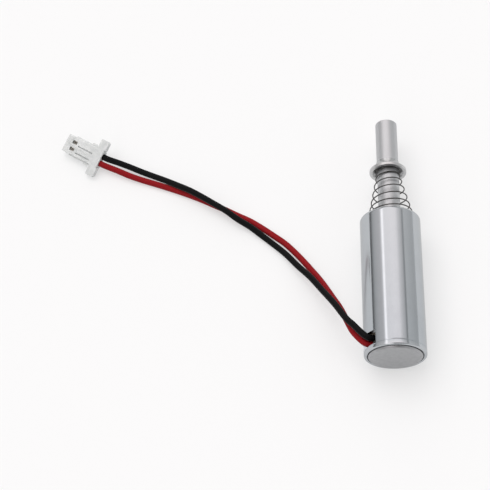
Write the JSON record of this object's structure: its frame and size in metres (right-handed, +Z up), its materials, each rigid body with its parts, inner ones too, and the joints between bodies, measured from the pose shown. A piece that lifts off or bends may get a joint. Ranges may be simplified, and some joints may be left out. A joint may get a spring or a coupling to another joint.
{
  "type": "push pull solenoid",
  "caption": "Tubular push pull solenoid with a spring-returned plunger that slides in a plated steel can, and a red and a black lead to a crimp connector.",
  "frame": {"origin": "on the surface under the middle of the solenoid, midway between the face of the rear end disc and the tip of the plunger", "axes": "+Y along the plunger from the rear end disc to the tip, +Z up from the surface, +X to the right"},
  "size_m": [0.0611, 0.0438, 0.01],
  "materials": {
    "plated_steel": "bright nickel plating",
    "turned_steel": "turned, satin",
    "ground_steel": "ground, bright",
    "spring_wire": "drawn wire",
    "bronze": "turned bronze",
    "brass": "drawn brass",
    "enamelled_copper": "enamelled copper wire",
    "tape": "polyester tape",
    "bobbin_plastic": "glass-filled nylon",
    "fibre": "vulcanised fibre",
    "tinned_pin": "tinned",
    "solder": "solder",
    "lead_black": "PVC insulation, satin",
    "lead_red": "PVC insulation, satin",
    "nylon": "natural nylon, slightly see-through",
    "contact_metal": "tin-plated bronze"
  },
  "bodies": {
    "stator": {"case": "plated_steel", "end_disc": "turned_steel", "fibre_washer": "fibre", "fixed_core": "turned_steel", "residual_shim": "brass", "bobbin": "bobbin_plastic", "coil_winding": "enamelled_copper", "winding_tape": "tape", "guide_tube": "brass", "insulating_ring": "fibre", "front_pole_ring": "turned_steel", "front_bushing": "bronze", "coil_pins": "tinned_pin", "solder_joints": "solder", "return_spring": "spring_wire", "lead_black": "lead_black", "lead_red": "lead_red", "connector_housing": "nylon", "terminal_black": "contact_metal", "terminal_red": "contact_metal"},
    "armature": {"plunger": "ground_steel", "collar": "ground_steel"}
  },
  "joints": [
    {"name": "plunger_slide", "type": "slide", "parent": "stator", "child": "armature", "axis": [0, -1, 0], "range_m": [0, 0.006], "stiffness_N_per_m": 100, "springref_m": -0.004, "deforming": ["return_spring"]}
  ]
}
